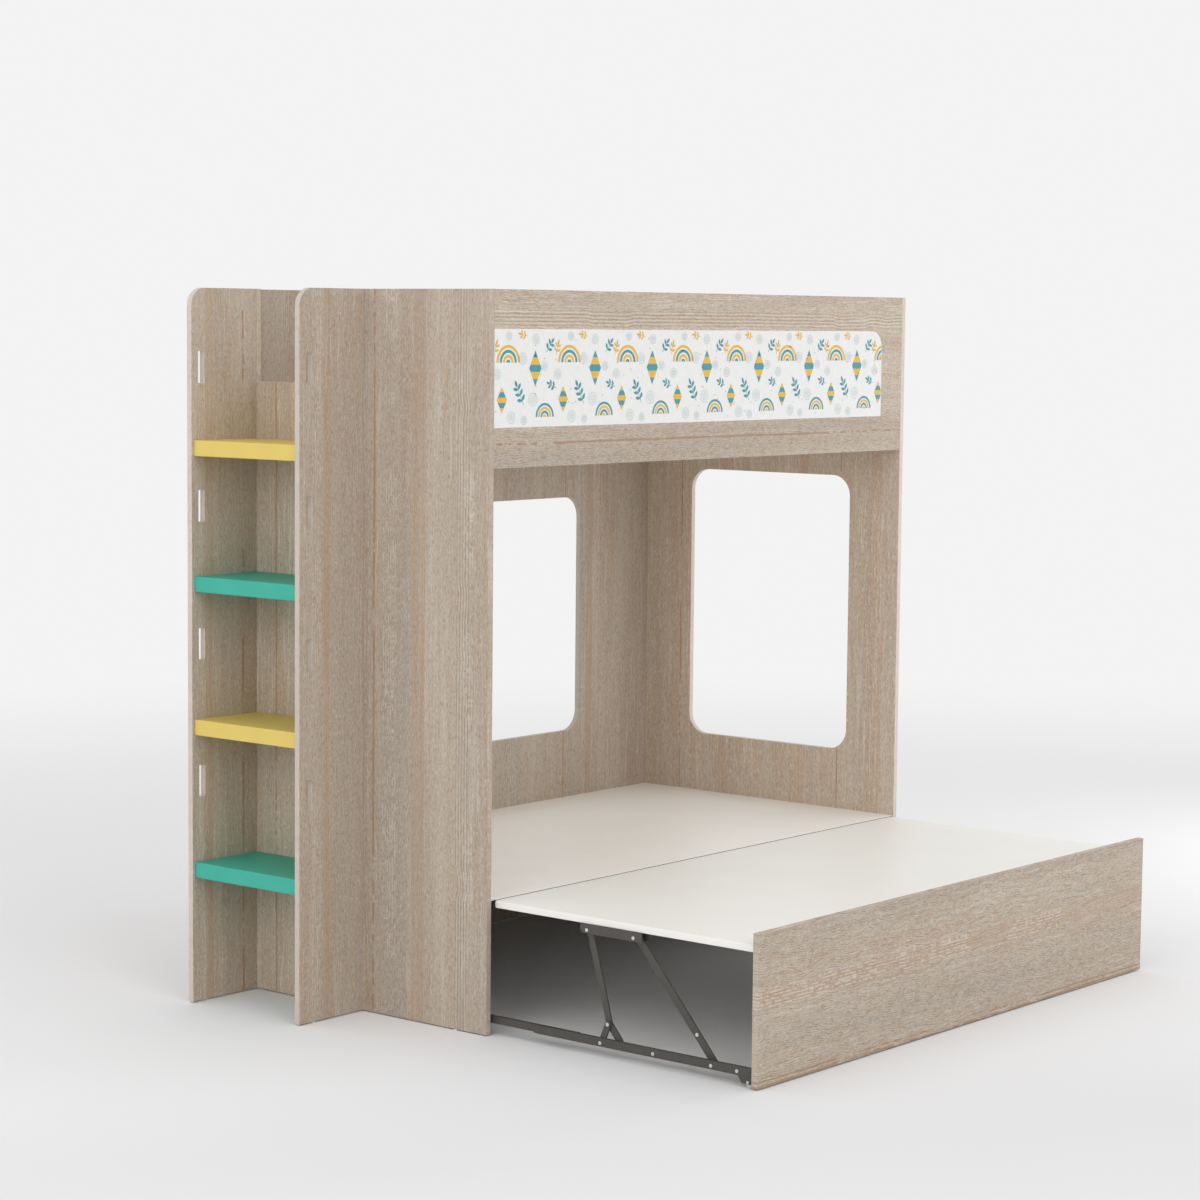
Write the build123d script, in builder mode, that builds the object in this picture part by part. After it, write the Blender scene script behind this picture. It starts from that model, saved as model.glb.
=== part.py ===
from build123d import *
import math
import os

# Trundle bunk bed. Millimetres, +Z up, origin on the floor under the middle of the whole footprint.
# The ladder stands at the -X end, the trundle is pulled out towards -Y with its platform raised.

# Bunk
board_thickness = 18.0
bunk_length = 1950.0
bunk_depth = 1025.0
bunk_height = 2000.0
glide_height = 3.0
board_edge_radius = 1.0

# Ladder
ladder_depth = 248.0
ladder_near_offset = 459.0
ladder_inner_width = 403.0
ladder_corner_radius = 50.0
ladder_notch_depth = 260.0
step_front_setback = 8.0
step_thickness = 44.0
step_shares = (0.253165, 0.507595, 0.761392, 1.0)
step_edge_radius = 3.0
hand_slot_width = 22.0
hand_slot_height = 89.0
hand_slot_inset = 26.0
hand_slot_corner_radius = 3.0
hand_slot_count = 4
lowest_hand_slot = 627.0
hand_slot_top_margin = 218.0

# Windows and the guard rail
window_radius = 66.0
back_window_side_margin = 370.0
back_window_bottom = 586.0
back_window_top_margin = 651.0
end_window_front_margin = 187.0
end_window_width = 634.0
end_window_bottom = 559.0
end_window_top_margin = 563.0
guard_depth = 474.0
print_bottom_margin = 107.5
print_top_margin = 105.0
print_end_margin = 110.0
print_corner_radius = 50.0
print_thickness = 4.0

# Bed boards and what carries them
upper_board_drop = 420.0
lower_board_top = 368.0
bed_board_edge_radius = 2.0
nose_rounding_share = 0.4
cleat_width = 20.0
cleat_height = 28.0
cross_beam_height = 28.0
cross_beam_width = 45.0
cross_beam_count = 2
lower_tube_side = 20.0
lower_tube_wall = 1.5
lower_tube_front = 250.0
tube_socket_wall = 2.0
tube_socket_depth = 12.0
lower_cleat_front = 330.0

# Trundle panel and platform
trundle_reach = 894.0
trundle_panel_inset = 16.0
trundle_panel_top = 400.0
trundle_panel_lift = 4.0
trundle_corner_radius = 4.0
trundle_stow_gap = 2.5
platform_inset = 30.0
platform_thickness = 19.0
platform_rear_reach = 3.0
platform_seam = 3.0
platform_step_down = 1.5
platform_edge_radius = 5.0
platform_panel_gap = 0.5
platform_corner_radius = 12.0
slip_clearance = 0.7

# Trundle sides
side_gap = 8.0
plate_thickness = 3.0
plate_spacing = 23.0
plate_bottom = 29.0
plate_top = 52.0
inner_plate_top = 46.0
plate_rear_share = 0.162192
plate_top_cut = 41.0
plate_bottom_cut = 14.0
plate_cut_height = 1.5
housing_drop = 18.5
housing_length = 38.0
housing_slope = 13.0
rail_bottom = 32.0
rail_height = 20.0
rail_wall = 1.5
rail_width = 12.0
rail_front_share = 0.331096
rail_rear = 84.0
fork_front = 50.0
fork_rear = 122.0
fork_wall_top = 3.0
guide_button_radius = 8.0
guide_button_place = (72.0, 40.0)
guide_button_gap = 0.5
front_tube_side = 20.0
front_tube_wall = 1.5
front_tube_gap = 4.0
bracket_leg = 22.0
bracket_height = 110.0
bracket_thickness = 2.5
bracket_hole_inset = 20.0

# Wheels
wheel_radius = 15.0
wheel_width = 16.0
wheel_floor_gap = 0.3
wheel_edge_radius = 2.0
wheel_hub_radius = 6.0
wheel_hub_width = 21.0
front_wheel_inset = 36.0
rear_wheel_place = 104.0
axle_radius = 3.0

# Lift linkage, as seen from the ladder end. Places along the trundle are shares of its reach.
bar_thickness = 5.0
bar_layer_gap = 1.5
bar_width = 21.0
rear_bar_width = 20.0
link_width = 18.0
upper_bar_height = 25.0
upper_bar_wall = 2.0
upper_bar_rear_share = 0.341163
upper_bar_front_share = 0.572707
upper_bar_chamfer = 7.0
top_pivot_drop = 16.0
rear_top_pivot_share = 0.365772
front_top_pivot_share = 0.540268
front_foot_pivot_share = 0.82774
foot_pivot_height = 38.4
link_foot_pivot_share = 0.419463
link_top_share = 0.442953
link_top_height = 90.0
rear_bar_end_share = 0.482103
rear_bar_end_height = 50.0
guide_rivet_share = 0.23
guide_head_share = 0.6
middle_spacer_share = 0.61745
front_spacer_inset = 71.0
strut_folded_angle = 10.0
rivet_radius = 3.5
rivet_head_radius = 5.0
rivet_head_height = 1.8
rivet_head_rounding = 1.2
running_clearance = 0.05
platform_rail_side = 20.0
platform_rail_wall = 1.5
platform_front_rail_share = 0.525727

# Small fittings of the bunk
corner_bracket_leg = 35.0
corner_bracket_width = 16.0
corner_bracket_thickness = 2.0
screw_radius = 2.2
screw_head_radius = 4.4
screw_head_height = 2.4
screw_place = 24.0
glide_radius = 8.5
glide_spread_share = 0.25
cut_overrun = 5.0

# Places worked out from the sizes above
x_ladder = (ladder_depth - bunk_length) / 2
x_far = x_ladder + bunk_length
x_inner_low = x_ladder + board_thickness
x_inner_high = x_far - board_thickness
x_middle = (x_ladder + x_far) / 2
y_front = (trundle_reach - bunk_depth) / 2
y_back = y_front + bunk_depth
y_back_inner = y_back - board_thickness
y_guard_inner = y_front + board_thickness
y_near_upright = y_front + ladder_near_offset
y_step_low = y_near_upright + board_thickness
y_step_high = y_step_low + ladder_inner_width
y_panel = y_front - trundle_reach
y_panel_inner = y_panel + board_thickness
upper_board_top = bunk_height - upper_board_drop
guard_bottom = bunk_height - guard_depth
platform_top = lower_board_top - platform_step_down
platform_bottom = platform_top - platform_thickness
top_pivot_height = platform_bottom - top_pivot_drop
platform_rear = y_front + platform_rear_reach
y_lower_board = platform_rear + platform_seam

# Fold of the front struts between the raised and the stowed trundle
strut_run = (front_foot_pivot_share - front_top_pivot_share) * trundle_reach
strut_rise = top_pivot_height - foot_pivot_height
strut_length = math.hypot(strut_run, strut_rise)
strut_raised_angle = math.degrees(math.atan2(strut_rise, strut_run))
strut_turn = strut_raised_angle - strut_folded_angle
slide_travel = trundle_reach - board_thickness - trundle_stow_gap
platform_shift = strut_length * math.cos(math.radians(strut_folded_angle)) - strut_run
platform_drop = strut_rise - strut_length * math.sin(math.radians(strut_folded_angle))

# The platform slips under the lower board along this slope when the trundle starts to roll in.
# Its rounded rear edge touches the slope a little in front of the rear face and below the top.
turn_per_travel = math.radians(strut_turn) / slide_travel
slip_slope = strut_run * turn_per_travel / (1 + strut_rise * turn_per_travel)
slip_angle = math.atan(slip_slope)
touch_back = platform_edge_radius * (1 - math.sin(slip_angle))
touch_drop = platform_edge_radius * (1 - math.cos(slip_angle))
slip_start = platform_step_down + touch_drop + slip_slope * (touch_back + platform_seam)
lower_board_nose = slip_start - slip_clearance


def write_part(builder, node):
    builder.part.label = node
    export_step(builder.part, "parts/" + node + ".step")


def rectangle_between(low_u, high_u, low_v, high_v, rounding=0.0, mode=Mode.ADD):
    """A rectangle in the open sketch, given by its low and high sides."""
    with Locations(((low_u + high_u) / 2, (low_v + high_v) / 2)):
        if rounding > 0:
            RectangleRounded(high_u - low_u, high_v - low_v, rounding, mode=mode)
        else:
            Rectangle(high_u - low_u, high_v - low_v, mode=mode)


def plank(x_span, y_span, z_span, rounding=0.0):
    """A straight board between two planes each way, with its edges eased."""
    with BuildPart() as piece:
        with BuildSketch(Plane.XY.offset(z_span[0])):
            rectangle_between(*x_span, *y_span)
        extrude(amount=z_span[1] - z_span[0])
        if rounding > 0:
            fillet(piece.edges(), radius=rounding)
    return piece


def box_tube(x_span, y_span, z_span, wall, along):
    """A square steel tube with a hollow running along X or Y."""
    with BuildPart() as piece:
        if along == "X":
            with BuildSketch(Plane.YZ.offset(x_span[0])):
                rectangle_between(*y_span, *z_span)
                rectangle_between(y_span[0] + wall, y_span[1] - wall, z_span[0] + wall,
                                  z_span[1] - wall, mode=Mode.SUBTRACT)
            extrude(amount=x_span[1] - x_span[0])
        else:
            with BuildSketch(Plane.XZ.offset(-y_span[1])):
                rectangle_between(*x_span, *z_span)
                rectangle_between(x_span[0] + wall, x_span[1] - wall, z_span[0] + wall,
                                  z_span[1] - wall, mode=Mode.SUBTRACT)
            extrude(amount=y_span[1] - y_span[0])
    return piece


def both_sides(x_low, x_high):
    """The X spans of a piece on the ladder side and of its mirror image on the far side."""
    return (("left", (x_low, x_high)), ("right", (2 * x_middle - x_high, 2 * x_middle - x_low)))


def link_between(start, end, width):
    """A flat bar outline with round ends, drawn in the open sketch from pivot to pivot."""
    run = end[0] - start[0]
    rise = end[1] - start[1]
    with Locations(((start[0] + end[0]) / 2, (start[1] + end[1]) / 2)):
        SlotCenterToCenter(math.hypot(run, rise), width, rotation=math.degrees(math.atan2(rise, run)))


def pivot_hole(place, radius):
    with Locations(place):
        Circle(radius, mode=Mode.SUBTRACT)


def rivets(spans, places, radius, head_radius, head_height, rounding):
    """Rivets along X, each a shank with a rounded head at both ends."""
    with BuildPart() as piece:
        for x_low, x_high in spans:
            with BuildSketch(Plane.YZ.offset(x_low)):
                with Locations(*places):
                    Circle(radius)
            extrude(amount=x_high - x_low)
            with BuildSketch(Plane.YZ.offset(x_low - head_height)):
                with Locations(*places):
                    Circle(head_radius)
            extrude(amount=head_height)
            with BuildSketch(Plane.YZ.offset(x_high)):
                with Locations(*places):
                    Circle(head_radius)
            extrude(amount=head_height)
        if rounding > 0:
            rims = piece.edges().filter_by(GeomType.CIRCLE).filter_by(
                lambda edge: edge.radius > (radius + head_radius) / 2)
            outer_planes = [x_low - head_height for x_low, x_high in spans]
            outer_planes += [x_high + head_height for x_low, x_high in spans]
            fillet([rim for rim in rims
                    if min(abs(rim.center().X - plane) for plane in outer_planes) < head_height / 2],
                   radius=rounding)
    return piece


# Fixed panels

def make_ladder_end_panel():
    with BuildPart() as ladder_end_panel:
        with BuildSketch(Plane.YZ.offset(x_ladder)):
            rectangle_between(y_front, y_back, glide_height, bunk_height)
            rectangle_between(y_step_low, y_step_high, bunk_height - ladder_notch_depth,
                              bunk_height + cut_overrun, mode=Mode.SUBTRACT)
        extrude(amount=board_thickness)
        fillet(ladder_end_panel.edges().filter_by(Axis.X, reverse=True), radius=board_edge_radius)
    write_part(ladder_end_panel, "ladder_end_panel")


def make_far_end_panel():
    window_low = y_front + end_window_front_margin
    with BuildPart() as far_end_panel:
        with BuildSketch(Plane.YZ.offset(x_inner_high)):
            rectangle_between(y_front, y_back, glide_height, bunk_height)
            rectangle_between(window_low, window_low + end_window_width, end_window_bottom,
                              bunk_height - end_window_top_margin, window_radius, Mode.SUBTRACT)
        extrude(amount=board_thickness)
        fillet(far_end_panel.edges().filter_by(Axis.X, reverse=True), radius=board_edge_radius)
    write_part(far_end_panel, "far_end_panel")


def make_back_panel():
    with BuildPart() as back_panel:
        with BuildSketch(Plane.XZ.offset(-y_back)):
            rectangle_between(x_inner_low, x_inner_high, glide_height, bunk_height)
            rectangle_between(x_ladder + back_window_side_margin, x_far - back_window_side_margin,
                              back_window_bottom, bunk_height - back_window_top_margin, window_radius,
                              Mode.SUBTRACT)
        extrude(amount=board_thickness)
        fillet(back_panel.edges().filter_by(Axis.Y, reverse=True), radius=board_edge_radius)
    write_part(back_panel, "back_panel")


def print_field():
    """The printed field: square corners but for the rounded upper far one."""
    x_high = x_inner_high - print_end_margin
    z_low = guard_bottom + print_bottom_margin
    z_high = bunk_height - print_top_margin
    with BuildSketch(Plane.XZ.offset(-y_front - print_thickness)) as field:
        with BuildLine():
            Line((x_inner_low, z_low), (x_high, z_low))
            Line((x_high, z_low), (x_high, z_high - print_corner_radius))
            CenterArc((x_high - print_corner_radius, z_high - print_corner_radius),
                      print_corner_radius, 0, 90)
            Line((x_high - print_corner_radius, z_high), (x_inner_low, z_high))
            Line((x_inner_low, z_high), (x_inner_low, z_low))
        make_face()
    return field.sketch


def make_guard_rail():
    with BuildPart() as guard_rail:
        with BuildSketch(Plane.XZ.offset(-y_guard_inner)):
            rectangle_between(x_inner_low, x_inner_high, guard_bottom, bunk_height)
        extrude(amount=board_thickness)
        fillet(guard_rail.edges().filter_by(Axis.X), radius=board_edge_radius)
        extrude(print_field(), amount=print_thickness, mode=Mode.SUBTRACT)
    write_part(guard_rail, "guard_rail")
    with BuildPart() as guard_print_panel:
        extrude(print_field(), amount=print_thickness)
    write_part(guard_print_panel, "guard_print_panel")


# Ladder

def make_upright(node, y_low):
    slot_middle = x_ladder - ladder_depth + hand_slot_inset + hand_slot_width / 2
    slot_pitch = (bunk_height - hand_slot_top_margin - lowest_hand_slot) / (hand_slot_count - 1)
    with BuildPart() as upright:
        with BuildSketch(Plane.XZ.offset(-y_low - board_thickness)) as outline:
            rectangle_between(x_ladder - ladder_depth, x_ladder, glide_height, bunk_height)
            top_front = outline.vertices().sort_by(Axis.X).group_by(Axis.X)[0].sort_by(Axis.Y)[-1]
            fillet(top_front, radius=ladder_corner_radius)
            with Locations(*[(slot_middle, lowest_hand_slot + slot_pitch * index)
                             for index in range(hand_slot_count)]):
                RectangleRounded(hand_slot_width, hand_slot_height, hand_slot_corner_radius,
                                 mode=Mode.SUBTRACT)
        extrude(amount=board_thickness)
        fillet(upright.edges().filter_by(Axis.Y, reverse=True), radius=board_edge_radius)
    write_part(upright, node)


def make_steps():
    for index, share in enumerate(step_shares):
        top = share * upper_board_top
        step = plank((x_ladder - ladder_depth + step_front_setback, x_ladder), (y_step_low, y_step_high),
                     (top - step_thickness, top), step_edge_radius)
        write_part(step, "ladder_step_" + str(index + 1))


# Bed boards

def make_upper_bed():
    bottom = upper_board_top - board_thickness
    cleat_bottom = bottom - cleat_height
    upper_bed_board = plank((x_inner_low, x_inner_high), (y_guard_inner, y_back_inner),
                            (bottom, upper_board_top), board_edge_radius)
    write_part(upper_bed_board, "upper_bed_board")
    front_cleat = plank((x_inner_low, x_inner_high), (y_guard_inner, y_guard_inner + cleat_width),
                        (cleat_bottom, bottom))
    write_part(front_cleat, "upper_front_cleat")
    back_cleat = plank((x_inner_low, x_inner_high), (y_back_inner - cleat_width, y_back_inner),
                       (cleat_bottom, bottom))
    write_part(back_cleat, "upper_back_cleat")
    between = (y_guard_inner + cleat_width, y_back_inner - cleat_width)
    ladder_cleat = plank((x_inner_low, x_inner_low + cleat_width), between, (cleat_bottom, bottom))
    write_part(ladder_cleat, "upper_ladder_end_cleat")
    far_cleat = plank((x_inner_high - cleat_width, x_inner_high), between, (cleat_bottom, bottom))
    write_part(far_cleat, "upper_far_end_cleat")
    pitch = (x_inner_high - x_inner_low) / (cross_beam_count + 1)
    for index in range(cross_beam_count):
        middle = x_inner_low + pitch * (index + 1)
        beam = plank((middle - cross_beam_width / 2, middle + cross_beam_width / 2), between,
                     (bottom - cross_beam_height, bottom), board_edge_radius)
        write_part(beam, "upper_cross_beam_" + str(index + 1))


def make_lower_bed():
    bottom = lower_board_top - board_thickness
    bevel_length = (board_thickness - lower_board_nose) / slip_slope
    with BuildPart() as lower_bed_board:
        with BuildSketch(Plane.YZ.offset(x_inner_low)):
            with BuildLine():
                Polyline(
                    (y_lower_board, lower_board_top),
                    (y_back_inner, lower_board_top),
                    (y_back_inner, bottom),
                    (y_lower_board + bevel_length, bottom),
                    (y_lower_board, lower_board_top - lower_board_nose),
                    close=True,
                )
            make_face()
        extrude(amount=x_inner_high - x_inner_low)
        nose_edge = lower_bed_board.edges().filter_by(Axis.X).group_by(Axis.Z)[-1].sort_by(Axis.Y)[0]
        fillet(nose_edge, radius=min(bed_board_edge_radius, lower_board_nose * nose_rounding_share))
    write_part(lower_bed_board, "lower_bed_board")
    back_cleat = plank((x_inner_low, x_inner_high), (y_back_inner - cleat_width, y_back_inner),
                       (bottom - cleat_height, bottom))
    write_part(back_cleat, "lower_back_cleat")
    cleat_span = (y_front + lower_cleat_front, y_back_inner - cleat_width)
    for name, x_span in (("ladder", (x_inner_low, x_inner_low + cleat_width)),
                         ("far", (x_inner_high - cleat_width, x_inner_high))):
        end_cleat = plank(x_span, cleat_span, (bottom - cleat_height, bottom))
        write_part(end_cleat, "lower_" + name + "_end_cleat")
    y_low = y_front + lower_tube_front
    cross_tube = box_tube((x_inner_low + tube_socket_wall, x_inner_high - tube_socket_wall),
                          (y_low, y_low + lower_tube_side), (bottom - lower_tube_side, bottom),
                          lower_tube_wall, "X")
    write_part(cross_tube, "lower_cross_tube")
    with BuildPart() as tube_sockets:
        for x_face, direction in ((x_inner_low, 1), (x_inner_high, -1)):
            with BuildSketch(Plane.YZ.offset(x_face)):
                rectangle_between(y_low - tube_socket_wall, y_low + lower_tube_side + tube_socket_wall,
                                  bottom - lower_tube_side - tube_socket_wall, bottom)
            extrude(amount=direction * tube_socket_depth)
            with BuildSketch(Plane.YZ.offset(x_face + direction * tube_socket_wall)):
                rectangle_between(y_low, y_low + lower_tube_side, bottom - lower_tube_side,
                                  bottom + cut_overrun)
            extrude(amount=direction * tube_socket_depth, mode=Mode.SUBTRACT)
    write_part(tube_sockets, "tube_sockets")


# Small fittings

corner_bracket_corners = (
    (x_inner_low, y_guard_inner, 1, 1),
    (x_inner_high, y_guard_inner, -1, 1),
    (x_inner_low, y_back_inner, 1, -1),
    (x_inner_high, y_back_inner, -1, -1),
)
guard_bracket_heights = (
    upper_board_top + corner_bracket_leg,
    bunk_height - 2 * corner_bracket_leg,
)


def make_corner_brackets():
    """Angle brackets in the four inner corners above the upper board, each with two screws."""
    with BuildPart() as corner_brackets:
        for z_low in guard_bracket_heights:
            with BuildSketch(Plane.XY.offset(z_low)):
                for x_corner, y_corner, x_way, y_way in corner_bracket_corners:
                    leg_x = x_corner + x_way * corner_bracket_leg
                    leg_y = y_corner + y_way * corner_bracket_leg
                    thin_x = x_corner + x_way * corner_bracket_thickness
                    thin_y = y_corner + y_way * corner_bracket_thickness
                    rectangle_between(min(x_corner, leg_x), max(x_corner, leg_x),
                                      min(y_corner, thin_y), max(y_corner, thin_y))
                    rectangle_between(min(x_corner, thin_x), max(x_corner, thin_x),
                                      min(y_corner, leg_y), max(y_corner, leg_y))
            extrude(amount=corner_bracket_width)
    write_part(corner_brackets, "corner_brackets")
    with BuildPart() as bracket_screw_heads:
        for z_low in guard_bracket_heights:
            middle = z_low + corner_bracket_width / 2
            for x_corner, y_corner, x_way, y_way in corner_bracket_corners:
                face_x = x_corner + x_way * corner_bracket_thickness
                face_y = y_corner + y_way * corner_bracket_thickness
                with BuildSketch(Plane.YZ.offset(face_x)):
                    with Locations((y_corner + y_way * screw_place, middle)):
                        Circle(screw_head_radius)
                extrude(amount=x_way * screw_head_height)
                with BuildSketch(Plane.XZ.offset(-face_y)):
                    with Locations((x_corner + x_way * screw_place, middle)):
                        Circle(screw_head_radius)
                extrude(amount=-y_way * screw_head_height)
    write_part(bracket_screw_heads, "bracket_screw_heads")


def make_floor_glides():
    """Round nail-in glides under the upright panels."""
    half = board_thickness / 2
    spread = ladder_near_offset * glide_spread_share
    places = [
        (x_ladder + half, y_front + spread),
        (x_ladder + half, y_back - spread),
        (x_far - half, y_front + spread),
        (x_far - half, y_back - spread),
        (x_ladder - ladder_depth + spread / 2, y_near_upright + half),
        (x_ladder - ladder_depth + spread / 2, y_step_high + half),
        (x_middle, y_back - half),
    ]
    with BuildPart() as floor_glides:
        with BuildSketch(Plane.XY):
            with Locations(*places):
                Circle(glide_radius)
        extrude(amount=glide_height)
    write_part(floor_glides, "floor_glides")


# Trundle base

plate_span = (x_inner_low + side_gap, x_inner_low + side_gap + plate_thickness)
inner_plate_span = (plate_span[1] + plate_spacing, plate_span[1] + plate_spacing + plate_thickness)
between_plates = (plate_span[1], inner_plate_span[0])
upper_bar_width = 2 * plate_thickness + plate_spacing
platform_front = y_panel_inner + platform_panel_gap
foot_pivot = (y_front - front_foot_pivot_share * trundle_reach, foot_pivot_height)
top_pivot = (y_front - front_top_pivot_share * trundle_reach, top_pivot_height)
rear_pivot = (y_front - rear_top_pivot_share * trundle_reach, top_pivot_height)
link_foot = (y_front - link_foot_pivot_share * trundle_reach, foot_pivot_height)
link_top = (y_front - link_top_share * trundle_reach, link_top_height)
rear_foot = (y_front - rear_bar_end_share * trundle_reach, rear_bar_end_height)
spacers = [(y_front - middle_spacer_share * trundle_reach, foot_pivot_height),
           (y_panel + front_spacer_inset, foot_pivot_height)]
wheel_height = wheel_radius + wheel_floor_gap
front_axle = (y_panel + front_wheel_inset, wheel_height)
rear_axle = (y_front + rear_wheel_place, wheel_height)


def make_trundle_panel():
    with BuildPart() as trundle_front_panel:
        with BuildSketch(Plane.XZ.offset(-y_panel_inner)):
            rectangle_between(x_ladder + trundle_panel_inset, x_far - trundle_panel_inset,
                              trundle_panel_lift, trundle_panel_top, trundle_corner_radius)
        extrude(amount=board_thickness)
        fillet(trundle_front_panel.edges().filter_by(Axis.Y, reverse=True), radius=board_edge_radius)
    write_part(trundle_front_panel, "trundle_front_panel")


def side_plate(x_span, top):
    """A flat side plate with a tapered rear end and the wheel housing hanging from its front end."""
    front = y_panel_inner
    rear = y_front - plate_rear_share * trundle_reach
    housing_bottom = plate_bottom - housing_drop
    slope_start = front + housing_length + housing_slope
    with BuildPart() as plate:
        with BuildSketch(Plane.YZ.offset(x_span[0])):
            with BuildLine():
                Polyline(
                    (front, top),
                    (rear - plate_top_cut, top),
                    (rear - plate_bottom_cut, top - plate_cut_height),
                    (rear, plate_bottom + plate_cut_height),
                    (rear - plate_bottom_cut, plate_bottom),
                    (slope_start, plate_bottom),
                    (slope_start - housing_slope, housing_bottom),
                    (front, housing_bottom),
                    close=True,
                )
            make_face()
            with Locations(foot_pivot, link_foot, *spacers):
                Circle(rivet_radius, mode=Mode.SUBTRACT)
            pivot_hole(front_axle, axle_radius)
        extrude(amount=x_span[1] - x_span[0])
    return plate


def make_base_sides():
    for side, x_span in both_sides(*plate_span):
        write_part(side_plate(x_span, plate_top), "outer_side_plate_" + side)
    for side, x_span in both_sides(*inner_plate_span):
        write_part(side_plate(x_span, inner_plate_top), "inner_side_plate_" + side)
    for side, x_span in both_sides(between_plates[0], between_plates[0] + rail_width):
        rail = box_tube(x_span, (y_front - rail_front_share * trundle_reach, y_front + rail_rear),
                        (rail_bottom, rail_bottom + rail_height), rail_wall, "Y")
        write_part(rail, "long_rail_" + side)
    for side, x_span in both_sides(plate_span[0], inner_plate_span[1]):
        with BuildPart() as rear_fork:
            with BuildSketch(Plane.YZ.offset(x_span[0])):
                rectangle_between(y_front + fork_front, y_front + fork_rear,
                                  plate_bottom - housing_drop, rail_bottom + rail_height + fork_wall_top,
                                  trundle_corner_radius)
            extrude(amount=x_span[1] - x_span[0])
            with BuildSketch(Plane.YZ.offset(x_span[0] + plate_thickness)):
                rectangle_between(y_front + fork_front - cut_overrun, y_front + fork_rear + cut_overrun,
                                  plate_bottom - housing_drop - cut_overrun, rail_bottom + rail_height)
            extrude(amount=plate_spacing, mode=Mode.SUBTRACT)
            with BuildSketch(Plane.YZ.offset(x_span[0])):
                with Locations(rear_axle):
                    Circle(axle_radius)
            extrude(amount=x_span[1] - x_span[0], mode=Mode.SUBTRACT)
        write_part(rear_fork, "rear_wheel_fork_" + side)
    spans = [x_span for side, x_span in both_sides(plate_span[0], inner_plate_span[1])]
    places = [foot_pivot, link_foot] + spacers
    with BuildPart() as guide_buttons:
        for x_face, way in ((spans[0][0], -1), (spans[1][1], 1)):
            with BuildSketch(Plane.YZ.offset(x_face)):
                with Locations((y_front + guide_button_place[0], guide_button_place[1])):
                    Circle(guide_button_radius)
            extrude(amount=way * (side_gap - guide_button_gap))
    write_part(guide_buttons, "guide_buttons")
    base_rivets = rivets(spans, places, rivet_radius, rivet_head_radius, rivet_head_height,
                         rivet_head_rounding)
    write_part(base_rivets, "base_rivets")
    wheel_axles = rivets(spans, [front_axle, rear_axle], axle_radius, axle_radius + rivet_head_height / 2,
                         rivet_head_height, 0)
    write_part(wheel_axles, "wheel_axles")


def make_base_front():
    z_low = plate_bottom + front_tube_side
    tube_y = (y_panel_inner + front_tube_gap, y_panel_inner + front_tube_gap + front_tube_side)
    far_face = 2 * x_middle - inner_plate_span[1]
    front_tube = box_tube((inner_plate_span[1], far_face), tube_y, (plate_bottom, z_low),
                          front_tube_wall, "X")
    write_part(front_tube, "base_front_tube")
    hole_heights = (z_low + bracket_hole_inset, z_low + bracket_height - bracket_hole_inset)
    holes = []
    bracket_plans = []
    for direction, face in ((1, inner_plate_span[1]), (-1, far_face)):
        holes += [(face + direction * bracket_leg / 2, height) for height in hole_heights]
        bracket_plans.append((min(face, face + direction * bracket_leg),
                              max(face, face + direction * bracket_leg), bracket_thickness))
        bracket_plans.append((min(face, face + direction * bracket_thickness),
                              max(face, face + direction * bracket_thickness), bracket_leg))
    with BuildPart() as panel_brackets:
        with BuildSketch(Plane.XY.offset(z_low)):
            for x_low, x_high, depth in bracket_plans:
                rectangle_between(x_low, x_high, y_panel_inner, y_panel_inner + depth)
        extrude(amount=bracket_height)
        with BuildSketch(Plane.XZ.offset(-y_panel_inner - bracket_thickness)):
            with Locations(*holes):
                Circle(screw_radius)
        extrude(amount=bracket_thickness, mode=Mode.SUBTRACT)
    write_part(panel_brackets, "panel_brackets")
    with BuildPart() as panel_screws:
        with BuildSketch(Plane.XZ.offset(-y_panel_inner - bracket_thickness - screw_head_height)):
            with Locations(*holes):
                Circle(screw_head_radius)
        extrude(amount=screw_head_height)
        with BuildSketch(Plane.XZ.offset(-y_panel_inner - bracket_thickness)):
            with Locations(*holes):
                Circle(screw_radius)
        extrude(amount=bracket_thickness)
    write_part(panel_screws, "panel_screws")


def make_wheel(node, x_middle_of_wheel, axle):
    """A plain roller with eased rims and a raised hub, turned about its axle."""
    with BuildPart() as wheel:
        with BuildSketch(Plane.YZ.offset(x_middle_of_wheel - wheel_width / 2)):
            with Locations(axle):
                Circle(wheel_radius)
        extrude(amount=wheel_width)
        fillet(wheel.edges().filter_by(GeomType.CIRCLE), radius=wheel_edge_radius)
        with BuildSketch(Plane.YZ.offset(x_middle_of_wheel - wheel_hub_width / 2)):
            with Locations(axle):
                Circle(wheel_hub_radius)
        extrude(amount=wheel_hub_width)
        with BuildSketch(Plane.YZ.offset(x_middle_of_wheel - wheel_hub_width / 2)):
            with Locations(axle):
                Circle(axle_radius + running_clearance)
        extrude(amount=wheel_hub_width, mode=Mode.SUBTRACT)
    write_part(wheel, node)


def make_wheels():
    for side, x_span in both_sides(*between_plates):
        for end, axle in (("front", front_axle), ("rear", rear_axle)):
            make_wheel(end + "_wheel_" + side, (x_span[0] + x_span[1]) / 2, axle)


# Lift linkage: three layers of flat bars between the side plates

layer_margin = (plate_spacing - 3 * bar_thickness - 2 * bar_layer_gap) / 2
link_layer = between_plates[0] + layer_margin
rear_layer = link_layer + bar_thickness + bar_layer_gap
front_layer = rear_layer + bar_thickness + bar_layer_gap


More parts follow.
